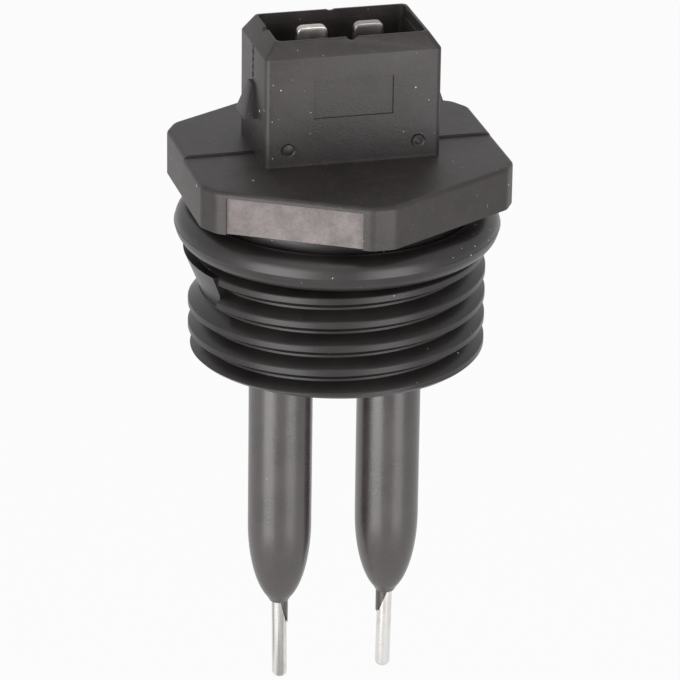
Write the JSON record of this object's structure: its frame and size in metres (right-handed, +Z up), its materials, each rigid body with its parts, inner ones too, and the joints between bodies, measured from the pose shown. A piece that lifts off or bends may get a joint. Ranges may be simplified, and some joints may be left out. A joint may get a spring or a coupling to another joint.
{
  "type": "coolant level sensor",
  "caption": "Screw-in coolant level sensor: a hexagon head with a plug socket on top, a coarse thread with a sealing ring, and insulated probe rods with bare tips.",
  "frame": {"origin": "on the thread's axis, in the plane of the hexagon's underside, where the ring seals", "axes": "+Z up along the thread's axis towards the plug socket, +X along the socket's long side, -Y towards the front of the socket"},
  "size_m": [0.0284, 0.0306, 0.0618],
  "materials": {
    "black_moulding": "fine matt texture",
    "ring_rubber": "satin",
    "sleeve_plastic": "gloss",
    "pin_steel": "polished",
    "blade_tin": "tinned, satin"
  },
  "bodies": {
    "root": {"sensor_housing": "black_moulding", "threaded_barrel": "black_moulding", "sealing_ring": "ring_rubber", "probe_sleeve_left": "sleeve_plastic", "probe_sleeve_right": "sleeve_plastic", "electrode_pin_left": "pin_steel", "electrode_pin_right": "pin_steel", "blade_terminal_left": "blade_tin", "blade_terminal_right": "blade_tin"}
  },
  "joints": []
}
